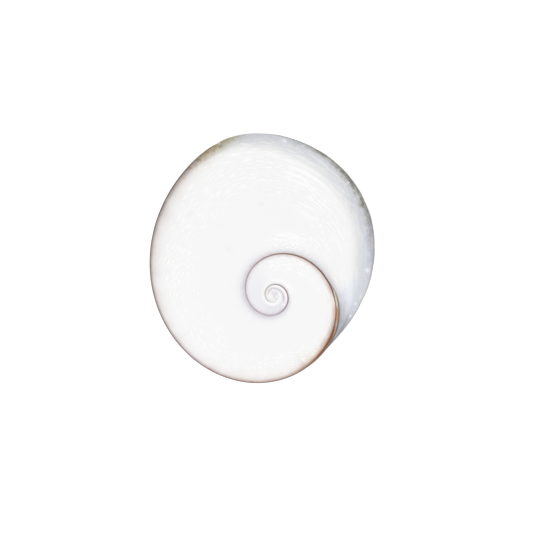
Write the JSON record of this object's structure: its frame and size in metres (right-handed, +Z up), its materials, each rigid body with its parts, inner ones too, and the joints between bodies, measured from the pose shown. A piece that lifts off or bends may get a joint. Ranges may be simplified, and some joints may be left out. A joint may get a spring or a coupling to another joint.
{
  "type": "shiva eye shell",
  "caption": "Oval white shell door of a turban snail: flat face with a brown spiral line round a small nucleus, a thick rounded lip, and a domed back with a flat spot to rest on.",
  "frame": {"origin": "under the middle of the outline, on the surface that the shell rests on", "axes": "+Z up through the flat spiral face, +Y along the length towards the rounded lip, +X to the right seen from above the face with the lip at the top"},
  "size_m": [0.027, 0.03, 0.0086],
  "materials": {
    "porcelain_white": "smooth, porcelain-like calcium carbonate with fine growth lines"
  },
  "bodies": {
    "root": {"operculum": "porcelain_white"}
  },
  "joints": []
}
